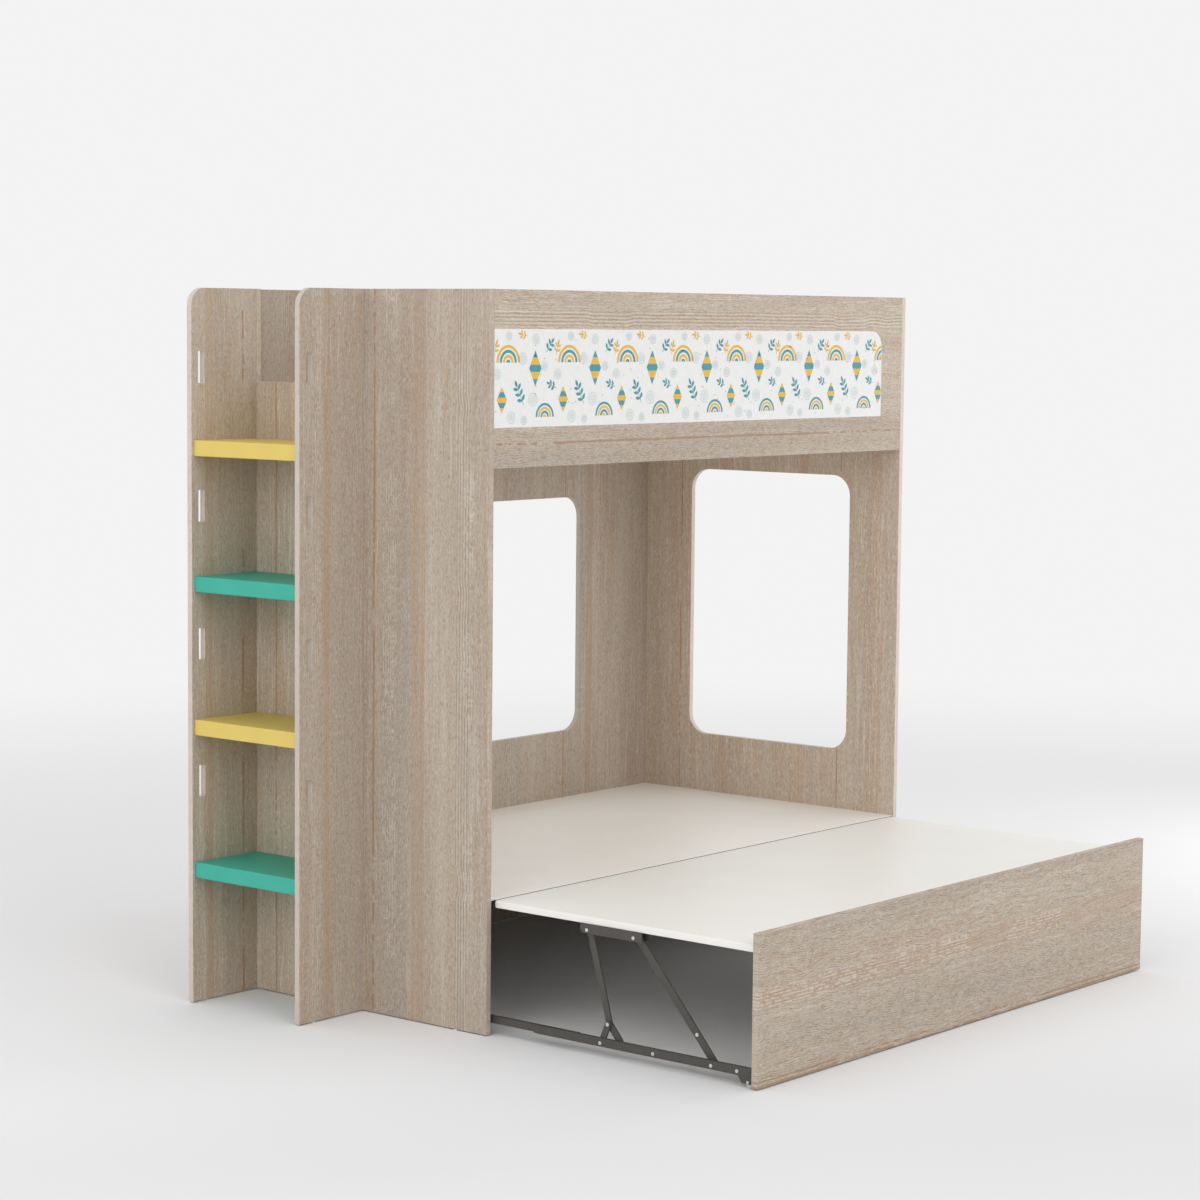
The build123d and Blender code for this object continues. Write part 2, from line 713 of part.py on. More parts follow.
def make_front_struts():
    guide = (foot_pivot[0] + strut_run * guide_rivet_share, foot_pivot[1] + strut_rise * guide_rivet_share)
    for side, x_span in both_sides(front_layer, front_layer + bar_thickness):
        with BuildPart() as front_strut:
            with BuildSketch(Plane.YZ.offset(x_span[0])):
                link_between(foot_pivot, top_pivot, bar_width)
                pivot_hole(foot_pivot, rivet_radius + running_clearance)
                pivot_hole(top_pivot, rivet_radius + running_clearance)
                pivot_hole(guide, rivet_radius)
            extrude(amount=x_span[1] - x_span[0])
        write_part(front_strut, "front_strut_" + side)
    with BuildPart() as strut_rivets:
        for side, x_span in both_sides(front_layer, front_layer + bar_thickness):
            outer_face, way = (x_span[0], -1) if side == "left" else (x_span[1], 1)
            with BuildSketch(Plane.YZ.offset(outer_face)):
                with Locations(guide):
                    Circle(rivet_head_radius)
            extrude(amount=way * bar_layer_gap * guide_head_share)
            with BuildSketch(Plane.YZ.offset(x_span[0])):
                with Locations(guide):
                    Circle(rivet_radius)
            extrude(amount=x_span[1] - x_span[0])
    write_part(strut_rivets, "strut_rivets")


def make_rear_struts():
    for side, x_span in both_sides(rear_layer, rear_layer + bar_thickness):
        with BuildPart() as rear_strut:
            with BuildSketch(Plane.YZ.offset(x_span[0])):
                link_between(link_top, rear_pivot, rear_bar_width)
                link_between(rear_foot, link_top, rear_bar_width)
                pivot_hole(rear_pivot, rivet_radius + running_clearance)
            extrude(amount=x_span[1] - x_span[0])
        write_part(rear_strut, "rear_strut_" + side)


def make_prop_links():
    for side, x_span in both_sides(link_layer, link_layer + bar_thickness):
        with BuildPart() as prop_link:
            with BuildSketch(Plane.YZ.offset(x_span[0])):
                link_between(link_foot, link_top, link_width)
                pivot_hole(link_foot, rivet_radius + running_clearance)
                pivot_hole(link_top, rivet_radius)
            extrude(amount=x_span[1] - x_span[0])
        write_part(prop_link, "prop_link_" + side)
    with BuildPart() as link_rivets:
        for side, x_span in both_sides(link_layer, link_layer + bar_thickness):
            outer_face, way = (x_span[0], -1) if side == "left" else (x_span[1], 1)
            with BuildSketch(Plane.YZ.offset(outer_face)):
                with Locations(link_top):
                    Circle(rivet_head_radius)
            extrude(amount=way * rivet_head_height)
            with BuildSketch(Plane.YZ.offset(x_span[0])):
                with Locations(link_top):
                    Circle(rivet_radius)
            extrude(amount=x_span[1] - x_span[0])
    write_part(link_rivets, "link_rivets")


def make_platform():
    bar_low = x_inner_low + side_gap
    bar_front = y_front - upper_bar_front_share * trundle_reach
    bar_rear = y_front - upper_bar_rear_share * trundle_reach
    for side, x_span in both_sides(bar_low, bar_low + upper_bar_width):
        z_low = platform_bottom - upper_bar_height
        with BuildPart() as upper_bar:
            with BuildSketch(Plane.YZ.offset(x_span[0])):
                with BuildLine():
                    Polyline(
                        (bar_front, z_low),
                        (bar_rear - upper_bar_chamfer, z_low),
                        (bar_rear, z_low + upper_bar_chamfer),
                        (bar_rear, platform_bottom),
                        (bar_front, platform_bottom),
                        close=True,
                    )
                make_face()
            extrude(amount=x_span[1] - x_span[0])
            with BuildSketch(Plane.YZ.offset(x_span[0] + upper_bar_wall)):
                rectangle_between(bar_front - cut_overrun, bar_rear + cut_overrun, z_low - cut_overrun,
                                  platform_bottom - upper_bar_wall)
            extrude(amount=x_span[1] - x_span[0] - 2 * upper_bar_wall, mode=Mode.SUBTRACT)
            with BuildSketch(Plane.YZ.offset(x_span[0])):
                with Locations(top_pivot, rear_pivot):
                    Circle(rivet_radius)
            extrude(amount=x_span[1] - x_span[0], mode=Mode.SUBTRACT)
        write_part(upper_bar, "upper_bar_" + side)
    spans = [x_span for side, x_span in both_sides(bar_low, bar_low + upper_bar_width)]
    bar_rivets = rivets(spans, [top_pivot, rear_pivot], rivet_radius, rivet_head_radius,
                        rivet_head_height, rivet_head_rounding)
    write_part(bar_rivets, "bar_rivets")
    rail_span = (bar_low + upper_bar_width, 2 * x_middle - bar_low - upper_bar_width)
    for name, share in (("front", platform_front_rail_share), ("rear", rear_top_pivot_share)):
        y_middle = y_front - share * trundle_reach
        rail = box_tube((rail_span[0] + rivet_head_height, rail_span[1] - rivet_head_height),
                        (y_middle - platform_rail_side / 2, y_middle + platform_rail_side / 2),
                        (platform_bottom - platform_rail_side, platform_bottom), platform_rail_wall, "X")
        write_part(rail, "platform_cross_rail_" + name)
    with BuildPart() as trundle_board:
        with BuildSketch(Plane.XY.offset(platform_bottom)):
            rectangle_between(x_ladder + platform_inset, x_far - platform_inset,
                              platform_front, platform_rear, platform_corner_radius)
        extrude(amount=platform_thickness)
        fillet(trundle_board.faces().sort_by(Axis.Z)[-1].edges(), radius=platform_edge_radius)
        fillet(trundle_board.faces().sort_by(Axis.Z)[0].edges(), radius=bed_board_edge_radius)
    write_part(trundle_board, "trundle_board")


os.makedirs("parts", exist_ok=True)
make_ladder_end_panel()
make_far_end_panel()
make_back_panel()
make_guard_rail()
make_upright("ladder_upright_near", y_near_upright)
make_upright("ladder_upright_far", y_step_high)
make_steps()
make_upper_bed()
make_lower_bed()
make_corner_brackets()
make_floor_glides()
make_trundle_panel()
make_base_sides()
make_base_front()
make_wheels()
make_front_struts()
make_rear_struts()
make_prop_links()
make_platform()
print("platform drop", round(platform_drop, 2), "shift", round(platform_shift, 2),
      "strut turn", round(strut_turn, 3), "travel", round(slide_travel, 2))
print("slip slope", round(slip_slope, 4), "lower board nose", round(lower_board_nose, 2))
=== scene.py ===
import math
import random

import bmesh
import bpy
from mathutils import Matrix, Vector


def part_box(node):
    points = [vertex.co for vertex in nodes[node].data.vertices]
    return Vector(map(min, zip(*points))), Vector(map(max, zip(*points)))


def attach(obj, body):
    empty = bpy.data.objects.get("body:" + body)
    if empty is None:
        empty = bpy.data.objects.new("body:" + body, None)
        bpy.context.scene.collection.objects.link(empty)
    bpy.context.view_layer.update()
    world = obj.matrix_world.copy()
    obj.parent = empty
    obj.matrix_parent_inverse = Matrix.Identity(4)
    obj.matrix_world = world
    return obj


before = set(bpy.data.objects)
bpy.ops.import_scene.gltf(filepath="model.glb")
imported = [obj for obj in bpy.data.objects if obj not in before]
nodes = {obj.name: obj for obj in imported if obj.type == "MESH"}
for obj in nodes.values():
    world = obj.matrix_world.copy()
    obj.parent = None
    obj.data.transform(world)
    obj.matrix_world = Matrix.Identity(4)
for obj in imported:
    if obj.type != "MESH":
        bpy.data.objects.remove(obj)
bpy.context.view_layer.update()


# Camera

camera_place = Vector((-6.8116, -5.3701, 1.9129))
camera_heading = 0.880483
camera_dip = 0.091088
camera_roll = 0.0092
camera_lens = 90.588
sensor_width = 36.0
camera_shift = (0.0003, -0.001)
camera_reach = 200.0


def make_camera():
    forward = Vector((math.sin(camera_heading) * math.cos(camera_dip),
                      math.cos(camera_heading) * math.cos(camera_dip), -math.sin(camera_dip)))
    right = Vector((math.cos(camera_heading), -math.sin(camera_heading), 0.0))
    up = right.cross(forward)
    rolled_right = right * math.cos(camera_roll) + up * math.sin(camera_roll)
    rolled_up = up * math.cos(camera_roll) - right * math.sin(camera_roll)
    data = bpy.data.cameras.new("camera")
    data.lens = camera_lens
    data.sensor_width = sensor_width
    data.sensor_height = sensor_width
    data.sensor_fit = "HORIZONTAL"
    data.shift_x, data.shift_y = camera_shift
    data.clip_end = camera_reach
    camera = bpy.data.objects.new("camera", data)
    turn = Matrix((rolled_right, rolled_up, -forward)).transposed().to_4x4()
    camera.matrix_world = Matrix.Translation(camera_place) @ turn
    bpy.context.scene.collection.objects.link(camera)
    bpy.context.scene.camera = camera


make_camera()
bpy.context.scene.view_settings.view_transform = "Standard"


# Colours and node helpers

def linear(red, green, blue):
    """A colour given in 0 to 255 as seen, in linear light."""
    def one(value):
        value /= 255.0
        return value / 12.92 if value <= 0.04045 else ((value + 0.055) / 1.055) ** 2.4
    return (one(red), one(green), one(blue), 1.0)


class Shading:
    """A material under construction, with short calls for the nodes it needs.

    The mix node has sockets for several kinds of value, so those for colours are given by number.
    """

    first_colour, second_colour, mixed_colour = 6, 7, 2

    def __init__(self, name):
        self.material = bpy.data.materials.new(name)
        self.material.use_nodes = True
        self.tree = self.material.node_tree
        self.tree.nodes.clear()
        self.output = self.tree.nodes.new("ShaderNodeOutputMaterial")
        self.coordinates = self.tree.nodes.new("ShaderNodeTexCoord").outputs["Object"]

    def feed(self, socket, value):
        if isinstance(value, bpy.types.NodeSocket):
            self.tree.links.new(value, socket)
        else:
            socket.default_value = value

    def maths(self, operation, first, second=0.0, third=0.0, clamp=False):
        node = self.tree.nodes.new("ShaderNodeMath")
        node.operation = operation
        node.use_clamp = clamp
        for socket, value in zip(node.inputs, (first, second, third)):
            self.feed(socket, value)
        return node.outputs[0]

    def axes(self, vector=None):
        node = self.tree.nodes.new("ShaderNodeSeparateXYZ")
        self.feed(node.inputs[0], vector or self.coordinates)
        return node.outputs

    def join(self, x, y, z):
        node = self.tree.nodes.new("ShaderNodeCombineXYZ")
        for socket, value in zip(node.inputs, (x, y, z)):
            self.feed(socket, value)
        return node.outputs[0]

    def noise(self, vector, scale, detail=2.0, roughness=0.5, distortion=0.0):
        node = self.tree.nodes.new("ShaderNodeTexNoise")
        self.feed(node.inputs["Vector"], vector)
        node.inputs["Scale"].default_value = scale
        node.inputs["Detail"].default_value = detail
        node.inputs["Roughness"].default_value = roughness
        node.inputs["Distortion"].default_value = distortion
        return node.outputs["Fac"]

    def step(self, value, low, high, out_low=0.0, out_high=1.0):
        node = self.tree.nodes.new("ShaderNodeMapRange")
        node.interpolation_type = "SMOOTHSTEP"
        node.clamp = True
        limits = {"From Min": low, "From Max": high, "To Min": out_low, "To Max": out_high}
        for name, number in limits.items():
            node.inputs[name].default_value = number
        self.feed(node.inputs["Value"], value)
        return node.outputs["Result"]

    def mix(self, factor, first, second, blend="MIX"):
        node = self.tree.nodes.new("ShaderNodeMix")
        node.data_type = "RGBA"
        node.blend_type = blend
        self.feed(node.inputs["Factor"], factor)
        self.feed(node.inputs[self.first_colour], first)
        self.feed(node.inputs[self.second_colour], second)
        return node.outputs[self.mixed_colour]

    def ramp(self, value, stops):
        node = self.tree.nodes.new("ShaderNodeValToRGB")
        ramp = node.color_ramp
        while len(ramp.elements) < len(stops):
            ramp.elements.new(0.5)
        for element, (place, colour) in zip(ramp.elements, stops):
            element.position = place
            element.color = colour
        self.feed(node.inputs[0], value)
        return node.outputs["Color"]

    def normal_along(self, axis):
        """How far the surface's own normal lies along an axis, 0 to 1."""
        geometry = self.tree.nodes.new("ShaderNodeNewGeometry")
        return self.maths("ABSOLUTE", self.axes(geometry.outputs["True Normal"])[axis])

    def finish(self, colour, roughness, metallic=0.0, height=None, bump=0.0, relief=0.001, **constants):
        surface = self.tree.nodes.new("ShaderNodeBsdfPrincipled")
        self.feed(surface.inputs["Base Color"], colour)
        self.feed(surface.inputs["Roughness"], roughness)
        surface.inputs["Metallic"].default_value = metallic
        for name, number in constants.items():
            surface.inputs[name.replace("_", " ")].default_value = number
        if height is not None:
            node = self.tree.nodes.new("ShaderNodeBump")
            node.inputs["Strength"].default_value = bump
            node.inputs["Distance"].default_value = relief
            self.feed(node.inputs["Height"], height)
            self.feed(surface.inputs["Normal"], node.outputs["Normal"])
        self.feed(self.output.inputs["Surface"], surface.outputs[0])
        return self.material


# Materials

oak_light = linear(197, 185, 169)
oak_middle = linear(188, 174, 157)
oak_grey = linear(180, 169, 156)
oak_cool = linear(170, 165, 160)
oak_brown = linear(181, 148, 117)
oak_dark = linear(134, 114, 95)
oak_streak = linear(164, 128, 97)
oak_fleck = linear(224, 217, 207)
oak_edge = linear(214, 206, 197)
black = (0.0, 0.0, 0.0, 1.0)


class Oak(Shading):
    """Greyed oak laminate, laid on coat by coat. Places and sizes across the board are in metres."""

    sway_reach = 0.008
    ripple_reach = 0.06
    bend_reach = 0.013
    stroke_pitch = 0.0062
    thread_half_pitch = 0.0037
    wave_half_pitch = 0.005
    dash_pitch = 0.009
    tick_pitch = 0.016

    def __init__(self, name, grain, across, thin, shift, wavy):
        super().__init__(name)
        place = self.axes()
        self.thin = thin
        self.wavy = wavy
        self.along = self.maths("ADD", place[grain], shift)
        self.side = place[across]
        self.depth = place[thin]
        sway = self.noise(self.join(0.0, 0.0, self.along), scale=2.3)
        self.swayed = self.maths("MULTIPLY_ADD", sway, self.sway_reach, self.side)
        ripple = self.centred(self.noise(self.join(self.side, shift, self.along), scale=9.0, detail=1.0))
        self.rippled = self.maths("MULTIPLY_ADD", ripple, self.ripple_reach * wavy, self.swayed)

    def centred(self, noise):
        return self.maths("SUBTRACT", noise, 0.5)

    def grained(self, stretch, scale, layer, detail=2.0, roughness=0.55, distortion=0.0):
        """Noise drawn out along the grain, with its own pattern for each layer."""
        vector = self.join(self.rippled, self.maths("ADD", self.depth, layer),
                           self.maths("MULTIPLY", self.along, stretch))
        return self.noise(vector, scale, detail, roughness, distortion)

    def within(self, middle, half, soft):
        """One inside a strip along the grain, falling to zero over its soft share."""
        off = self.maths("ABSOLUTE", self.maths("SUBTRACT", self.swayed, middle))
        return self.step(off, half * (1.0 - soft), half, 1.0, 0.0)

    def runs(self, scale, layer, low, high):
        """Runs along the grain, whole or broken by their scale."""
        return self.step(self.noise(self.join(0.0, layer, self.along), scale, detail=1.0), low, high)

    def row_runs(self, line, pitch, gap, scale, layer, low, high):
        """Runs in rows a pitch apart, with another pattern in each row."""
        row = self.maths("FLOOR", self.maths("DIVIDE", line, pitch))
        return self.runs(scale, self.maths("MULTIPLY_ADD", row, gap, layer), low, high)

    def cover(self, tint, strength, *masks):
        """Lay a tint over the colour so far, where all the masks show."""
        for mask in masks:
            strength = self.maths("MULTIPLY", mask, strength)
        self.colour = self.mix(strength, self.colour, tint)

    def ground(self, wild, curls):
        """Soft tones and warmer stretches, and the share of the face where the grain is curly."""
        tone = self.grained(stretch=0.05, scale=9.0, layer=0.0, detail=3.0, roughness=0.6)
        tints = [(0.0, oak_grey), (0.5, oak_middle), (1.0, oak_light)]
        self.colour = self.ramp(self.step(tone, 0.3, 0.7), tints)
        warm = self.grained(stretch=0.035, scale=15.0, layer=1.0, detail=3.0)
        self.cover(oak_brown, 0.36, self.step(warm, 0.48, 0.68))
        patches = self.grained(stretch=0.16, scale=6.0, layer=2.0)
        self.curly = self.maths("MULTIPLY", self.step(patches, 0.44, 0.56), wild)
        for middle, half in curls:
            self.curly = self.maths("MAXIMUM", self.curly, self.within(middle, half, soft=0.35))

    def fine_grain(self):
        """Long thin lines where the grain is straight, curls elsewhere, and fibres and spots all over."""
        straight = self.maths("SUBTRACT", 1.0, self.curly)
        self.lines = self.grained(stretch=0.022, scale=150.0, layer=3.0, detail=3.0, roughness=0.7)
        self.cover(oak_brown, 0.5, self.step(self.lines, 0.47, 0.66), straight)
        self.pale = self.grained(stretch=0.026, scale=165.0, layer=5.0)
        self.cover(oak_fleck, 0.4, self.step(self.pale, 0.5, 0.68), straight)
        self.fibre = self.grained(stretch=0.28, scale=280.0, layer=7.0, roughness=0.7)
        self.cover(oak_dark, 0.48, self.step(self.fibre, 0.5, 0.7))
        light = self.grained(stretch=0.28, scale=290.0, layer=9.0, roughness=0.7)
        self.cover(oak_fleck, 0.52, self.step(light, 0.5, 0.7))
        blush = self.grained(stretch=0.22, scale=235.0, layer=33.0, roughness=0.7)
        self.cover(oak_brown, 0.6, self.step(blush, 0.52, 0.7))
        self.cover(oak_cool, 0.5, self.step(blush, 0.3, 0.48, 1.0, 0.0))
        curl = self.grained(stretch=0.45, scale=240.0, layer=11.0, detail=1.0, roughness=0.6, distortion=0.6)
        self.cover(oak_dark, 0.34, self.step(curl, 0.52, 0.68), self.curly)
        self.cover(oak_cool, 0.34, self.step(curl, 0.32, 0.46, 1.0, 0.0), self.curly)

    def strokes(self):
        """Short dark and pale strokes in bent rows along the grain."""
        bend = self.centred(self.noise(self.join(self.side, 35.0, self.along), scale=24.0, detail=1.0))
        line = self.maths("MULTIPLY_ADD", bend, self.bend_reach, self.rippled)
        off = self.maths("PINGPONG", line, self.stroke_pitch / 2)
        dark = self.row_runs(line, self.stroke_pitch, gap=5.7, scale=28.0, layer=37.0, low=0.5, high=0.6)
        self.cover(oak_dark, self.wavy, self.step(off, 0.0015, 0.0029), dark)
        bright = self.row_runs(line, self.stroke_pitch, gap=6.1, scale=25.0, layer=39.0, low=0.5, high=0.6)
        self.cover(oak_fleck, self.wavy, self.step(off, 0.0, 0.0012, 1.0, 0.0), bright)

    def band(self, middle, half):
        """A band of fine warm threads."""
        thread = self.step(self.maths("PINGPONG", self.swayed, self.thread_half_pitch), 0.0, 0.003, 0.5, 0.0)
        depth = self.step(self.grained(stretch=0.012, scale=60.0, layer=13.0, detail=1.0), 0.4, 0.6, 0.3, 1.0)
        ground = 0.22
        self.cover(oak_brown, 1.0, self.within(middle, half, soft=0.25),
                   self.maths("MULTIPLY_ADD", thread, depth, ground))

    def wave(self, middle, reach):
        """A few dark lines that bulge out across the grain in places."""
        bulge = self.maths("MULTIPLY", self.runs(scale=6.0, layer=15.0 + middle, low=0.56, high=0.72), reach)
        off = self.maths("ADD", self.maths("SUBTRACT", self.swayed, middle), bulge)
        near = self.step(self.maths("ABSOLUTE", off), 0.017, 0.027, 1.0, 0.0)
        between = self.maths("PINGPONG", off, self.wave_half_pitch)
        self.cover(oak_dark, 0.5, self.step(between, 0.0, 0.0022, 1.0, 0.0), near)
        self.cover(oak_fleck, 0.4, self.step(between, 0.003, 0.005), near)

    def mark(self, middle, half, strength):
        """A strip with rows of pale dashes and of ticks across them."""
        off = self.maths("SUBTRACT", self.swayed, middle)
        dash = self.row_runs(off, self.dash_pitch, gap=7.3, scale=42.0, layer=17.0, low=0.47, high=0.53)
        row = self.step(self.maths("PINGPONG", off, self.dash_pitch / 2), 0.0022, 0.0036)
        tick = self.row_runs(off, self.tick_pitch, gap=3.1, scale=75.0, layer=18.0, low=0.6, high=0.66)
        worn = self.step(self.pale, 0.45, 0.55)
        shown = self.maths("MAXIMUM", self.maths("MULTIPLY", row, dash), self.maths("MULTIPLY", tick, worn))
        held = self.runs(scale=3.4, layer=19.0 + middle, low=0.42, high=0.5)
        self.cover(oak_fleck, strength, shown, self.within(middle, half, soft=0.3), held)

    def streak(self, middle, half):
        """A brown line of changing width, whole in some stretches and dashed in others."""
        whole = self.runs(scale=2.4, layer=21.0 + middle, low=0.5, high=0.53)
        dashes = self.runs(scale=34.0, layer=23.0 + middle, low=0.47, high=0.52)
        groups = self.runs(scale=4.0, layer=25.0 + middle, low=0.42, high=0.48)
        dashed = self.maths("MULTIPLY", dashes, groups)
        swell = self.noise(self.join(0.0, 27.0, self.along), scale=9.0, roughness=0.6)
        off = self.maths("ABSOLUTE", self.maths("SUBTRACT", self.swayed, middle))
        share = self.maths("DIVIDE", off, self.maths("MULTIPLY", swell, half * 2.0))
        inside = self.step(self.maths("SUBTRACT", 1.0, share, clamp=True), 0.0, 0.6)
        self.cover(oak_streak, 0.75, inside, self.maths("MAXIMUM", whole, dashed))

    def zone(self, middle, half, amount, soft):
        """A darker zone: a strip along the grain, mixed towards black by the amount."""
        self.cover(black, amount, self.within(middle, half, soft))

    def board(self, tone_and_light, rim):
        """The paler cut edges, the board's lightness, which is partly painted light and shade, and its
        surface.
        """
        self.cover(oak_edge, rim, self.step(self.normal_along(self.thin), 0.3, 0.6, 1.0, 0.0))
        colour = self.mix(1.0, self.colour, (tone_and_light, tone_and_light, tone_and_light, 1.0), "MULTIPLY")
        return self.finish(colour, self.step(self.fibre, 0.2, 0.8, 0.5, 0.66), bump=0.12, relief=0.0006,
                           height=self.mix(0.5, self.fibre, self.lines), Specular_IOR_Level=0.35)


def oak(name, grain, across, thin, shift, tone_and_light=1.0, wild=0.5, wavy=0.2, rim=0.5, zones=(), curls=(), bands=(),
        streaks=(), waves=(), marks=()):
    """An oak board. grain, across and thin are its axes: along the grain, across it, and through the board.

    lift is its lightness, set board by board and partly painted light and shade, wild the share of curly
    grain, wavy the strength of its strokes, rim the paleness of its edges. zones are (middle, half, amount,
    soft), waves (middle, reach), marks (middle, half, strength), and curls, bands and streaks (middle, half).
    """
    made = Oak(name, grain, across, thin, shift, wavy)
    made.ground(wild, curls)
    made.fine_grain()
    made.strokes()
    for feature, places in ((made.band, bands), (made.wave, waves), (made.mark, marks),
                            (made.streak, streaks), (made.zone, zones)):
        for place in places:
            feature(*place)
    return made.board(tone_and_light, rim)


def lacquer(name, colour, deeper, rough=0.42):
    """Satin lacquer on board, with a faint orange peel."""
    made = Shading(name)
    cloud = made.noise(made.coordinates, scale=9.0, detail=3.0)
    peel = made.noise(made.coordinates, scale=420.0)
    tint = made.mix(made.step(cloud, 0.3, 0.7), colour, deeper)
    return made.finish(tint, made.step(peel, 0.3, 0.7, rough, rough + 0.08), height=peel, bump=0.06,
                       relief=0.0004, Specular_IOR_Level=0.4)


def steel(name, colour, worn, metallic, rough, bump=0.1):
    """Powder-coated or bright steel with slight wear."""
    made = Shading(name)
    grit = made.noise(made.coordinates, scale=900.0)
    patch = made.noise(made.coordinates, scale=35.0, detail=4.0, roughness=0.65)
    tint = made.mix(made.step(patch, 0.45, 0.75, 0.0, 0.6), colour, worn)
    return made.finish(tint, made.step(patch, 0.3, 0.7, rough, rough + 0.14), metallic,
                       height=grit, bump=bump, relief=0.0002)


def raw_wood(name, grain):
    """Planed softwood for the hidden cleats and beams."""
    made = Shading(name)
    place = list(made.axes())
    place[grain] = made.maths("MULTIPLY", place[grain], 0.06)
    vector = made.join(*place)
    rings = made.noise(vector, scale=60.0, detail=3.0, roughness=0.6, distortion=0.6)
    fibre = made.noise(vector, scale=420.0)
    colour = made.mix(made.step(rings, 0.3, 0.7), linear(214, 184, 142), linear(190, 152, 108))
    colour = made.mix(made.step(fibre, 0.5, 0.8, 0.0, 0.35), colour, linear(160, 120, 82))
    return made.finish(colour, 0.65, height=fibre, bump=0.15, relief=0.0005)


def plain(name, colour, second, scale, rough, bump, **constants):
    """A quiet moulded or coated surface with a fine texture."""
    made = Shading(name)
    cloud = made.noise(made.coordinates, scale, detail=3.0)
    fine = made.noise(made.coordinates, scale=650.0)
    tint = made.mix(made.step(cloud, 0.3, 0.7), colour, second)
    return made.finish(tint, made.step(fine, 0.3, 0.7, rough, rough + 0.08), height=fine, bump=bump,
                       relief=0.0003, **constants)


def ink(name, colour, second):
    return plain(name, colour, second, scale=220.0, rough=0.5, bump=0.04)


cream = plain("cream_board", linear(246, 243, 237), linear(244, 241, 235),
              scale=5.0, rough=0.42, bump=0.05, Specular_IOR_Level=0.4)
# A darker copy of the cream board, for the trundle board alone: painted shade.
shaded_cream_trundle = plain("cream_trundle_board", linear(239, 238, 232), linear(237, 236, 230),
                      scale=5.0, rough=0.42, bump=0.05, Specular_IOR_Level=0.4)
yellow = lacquer("yellow_lacquer", linear(222, 198, 105), linear(219, 194, 101))
teal = lacquer("teal_lacquer", linear(59, 176, 155), linear(56, 172, 151))
dark_steel = steel("dark_steel", linear(80, 77, 74), linear(92, 88, 84), metallic=0.25, rough=0.45)
bright_steel = steel("bright_steel", linear(222, 222, 220), linear(196, 196, 196),
                     metallic=0.9, rough=0.26, bump=0.05)
grey_plastic = plain("grey_plastic", linear(205, 206, 206), linear(188, 190, 191),
                     scale=40.0, rough=0.35, bump=0.08)
print_white = plain("print_white", linear(231, 231, 230), linear(227, 227, 226),
                    scale=60.0, rough=0.5, bump=0.04)
print_teal = ink("print_teal", linear(56, 143, 156), linear(64, 150, 162))
print_mustard = ink("print_mustard", linear(228, 182, 60), linear(222, 174, 54))
print_pale = ink("print_pale", linear(176, 196, 199), linear(186, 203, 206))
raw_along_x = raw_wood("raw_wood_along_x", grain=0)
raw_along_y = raw_wood("raw_wood_along_y", grain=1)

X, Y, Z = 0, 1, 2
# Each oak board's lightness is set board by board and is partly painted light and shade: the back panel
# inside is darker, the far end panel's inner face lighter.
finishes = {
    # The ladder end panel's tone is painted light and shade: its lightness raises the whole panel, and its
    # darker zone takes it down again in front of the ladder, so the face behind the ladder stays lighter.
    "ladder_end_panel": oak("oak_ladder_end", grain=Z, across=Y, thin=X, shift=0.0, tone_and_light=1.08, rim=0.12,
                            zones=((-0.1, 0.515, 0.17, 0.05),), curls=((0.285, 0.06),),
                            bands=((0.192, 0.026), (0.60, 0.02)), streaks=((0.3585, 0.0042), (0.74, 0.004)),
                            waves=((0.032, 0.013),), marks=((0.01, 0.024, 0.5), (0.30, 0.03, 0.45))),
    "far_end_panel": oak("oak_far_end", grain=Z, across=Y, thin=X, shift=1.7, tone_and_light=1.12,
                         bands=((0.3, 0.016), (0.62, 0.016)), streaks=((0.16, 0.003), (0.80, 0.003)),
                         marks=((-0.2, 0.03, 0.4),)),
    "back_panel": oak("oak_back", grain=Z, across=X, thin=Y, shift=3.1, tone_and_light=0.89,
                      bands=((0.78, 0.016), (0.0, 0.03)), streaks=((0.655, 0.003), (-0.35, 0.003)),
                      marks=((-0.6, 0.03, 0.4), (0.4, 0.03, 0.4))),
    "guard_rail": oak("oak_guard", grain=X, across=Z, thin=Y, shift=5.3, tone_and_light=1.035, wavy=0.45,
                      zones=((1.57, 0.09, 0.12, 0.5),), curls=((1.56, 0.035),), streaks=((1.593, 0.0042),),
                      waves=((1.93, 0.006),), marks=((1.965, 0.025, 0.22),)),
    "ladder_upright_near": oak("oak_near_upright", grain=Z, across=X, thin=Y, shift=7.9, tone_and_light=0.94, wild=0.6,
                               wavy=0.25, rim=0.6, bands=((-0.992, 0.013),), marks=((-1.03, 0.02, 0.4),)),
    "ladder_upright_far": oak("oak_far_upright", grain=Z, across=X, thin=Y, shift=9.4, tone_and_light=1.0,
                              wavy=0.25, rim=0.6, bands=((-1.03, 0.016),), streaks=((-0.9, 0.0045),)),
    "trundle_front_panel": oak("oak_trundle", grain=X, across=Z, thin=Y, shift=11.6, tone_and_light=0.945, wild=0.25,
                               wavy=0.55, rim=0.08, curls=((0.13, 0.05),), bands=((0.235, 0.03),),
                               streaks=((0.012, 0.0035), (0.024, 0.003)), marks=((0.235, 0.032, 0.6),)),
    "guard_print_panel": print_white,
    "upper_bed_board": cream,
    "lower_bed_board": cream,
    "trundle_board": shaded_cream_trundle,
    "ladder_step_4": yellow,
    "ladder_step_3": teal,
    "ladder_step_2": yellow,
    "ladder_step_1": teal,
    "floor_glides": grey_plastic,
    "guide_buttons": grey_plastic,
}
